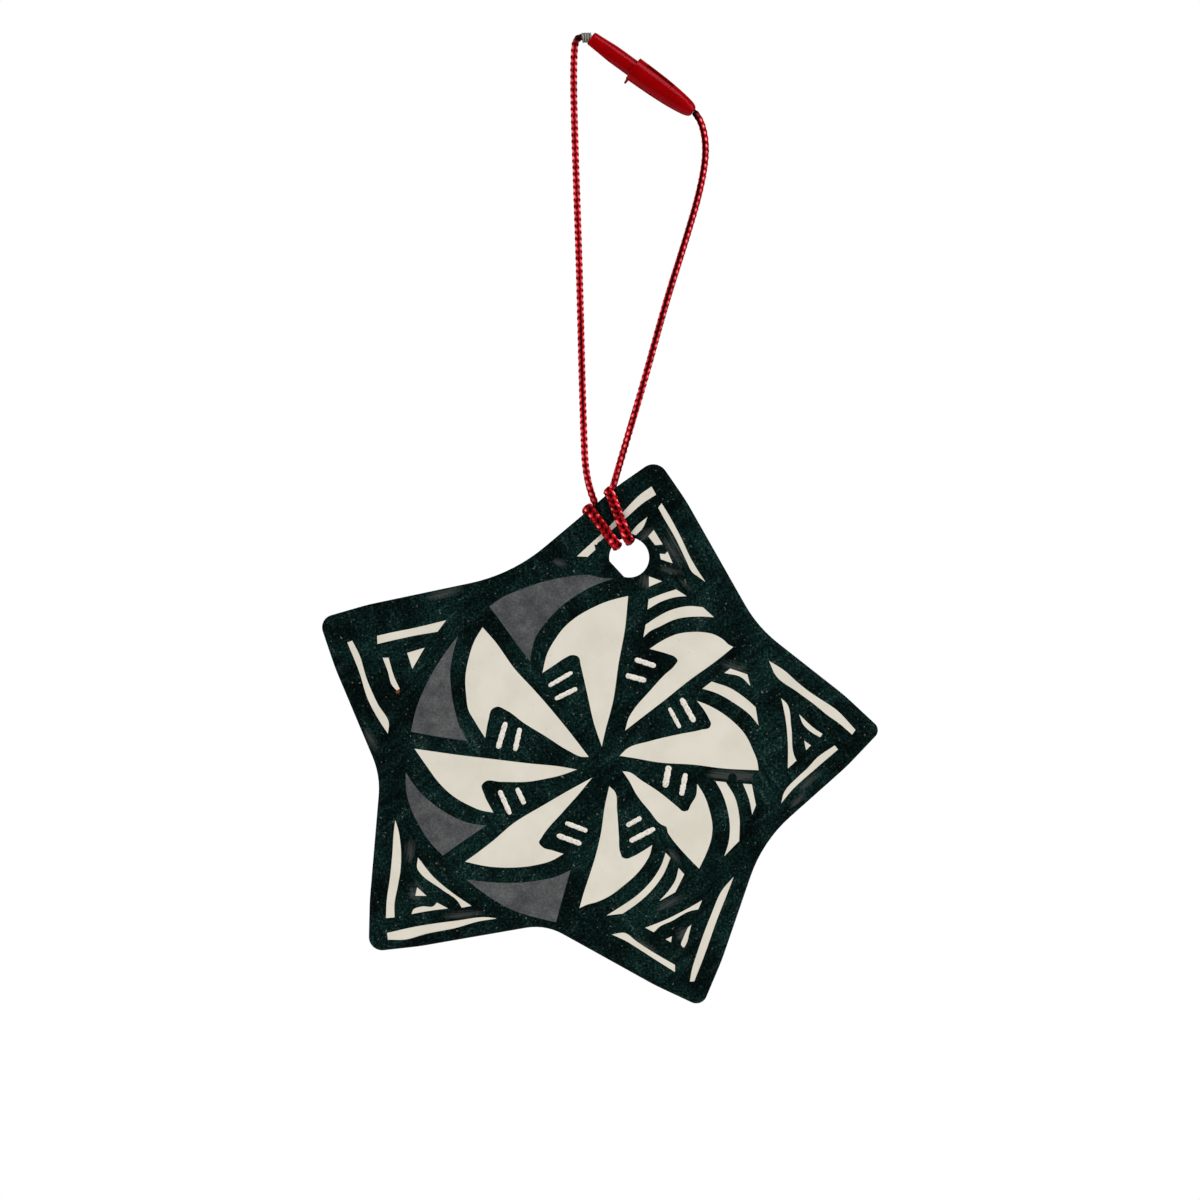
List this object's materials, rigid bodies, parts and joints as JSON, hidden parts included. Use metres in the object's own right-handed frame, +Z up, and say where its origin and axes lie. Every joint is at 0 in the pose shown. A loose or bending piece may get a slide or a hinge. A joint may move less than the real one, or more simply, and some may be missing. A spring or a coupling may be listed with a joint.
{
  "type": "hanging star ornament",
  "caption": "Hand-cut painted clay star hung by a lark's head through its hole, on a loop of metallic braided cord closed by a plug-and-socket snap lock.",
  "frame": {"origin": "the hook inside the top bend of the cord loop, from which the ornament hangs", "axes": "+X to the viewer's right, +Y away from the viewer through the star, from its painted face to its back, +Z up"},
  "size_m": [0.0749, 0.0084, 0.1312],
  "materials": {
    "clay": "satin",
    "braid": "satin",
    "sleeve": "matte",
    "lock": "satin"
  },
  "bodies": {
    "plug": {"snap_plug": "lock"},
    "loop": {"cord_left_strand": "braid", "cord_right_strand": "braid", "cord_sleeve": "sleeve"},
    "socket": {"snap_socket": "lock"},
    "neck": {"cord_neck": "braid"},
    "star": {"star_body": "clay", "cord_hitch": "braid"}
  },
  "joints": [
    {"name": "loop_swing", "type": "hinge", "parent": "plug", "child": "loop", "pos_m": [0.00112, 0, 0.00112], "axis": [0.81, 0, -0.5864], "range_deg": [-75, 75]},
    {"name": "snap_pull", "type": "slide", "parent": "loop", "child": "socket", "axis": [0.81, 0, -0.5864], "range_m": [0, 0.009], "deforming": ["cord_right_strand"]},
    {"name": "star_turn", "type": "hinge", "parent": "loop", "child": "neck", "pos_m": [0.00055, 0, -0.0485], "axis": [0, 0, 1], "range_deg": [-170, 170], "deforming": ["cord_left_strand", "cord_right_strand"]},
    {"name": "star_tilt", "type": "hinge", "parent": "neck", "child": "star", "pos_m": [0.00187, 0, -0.06092], "axis": [0.7658, 0, 0.6431], "range_deg": [-70, 70], "deforming": ["cord_neck"]}
  ]
}
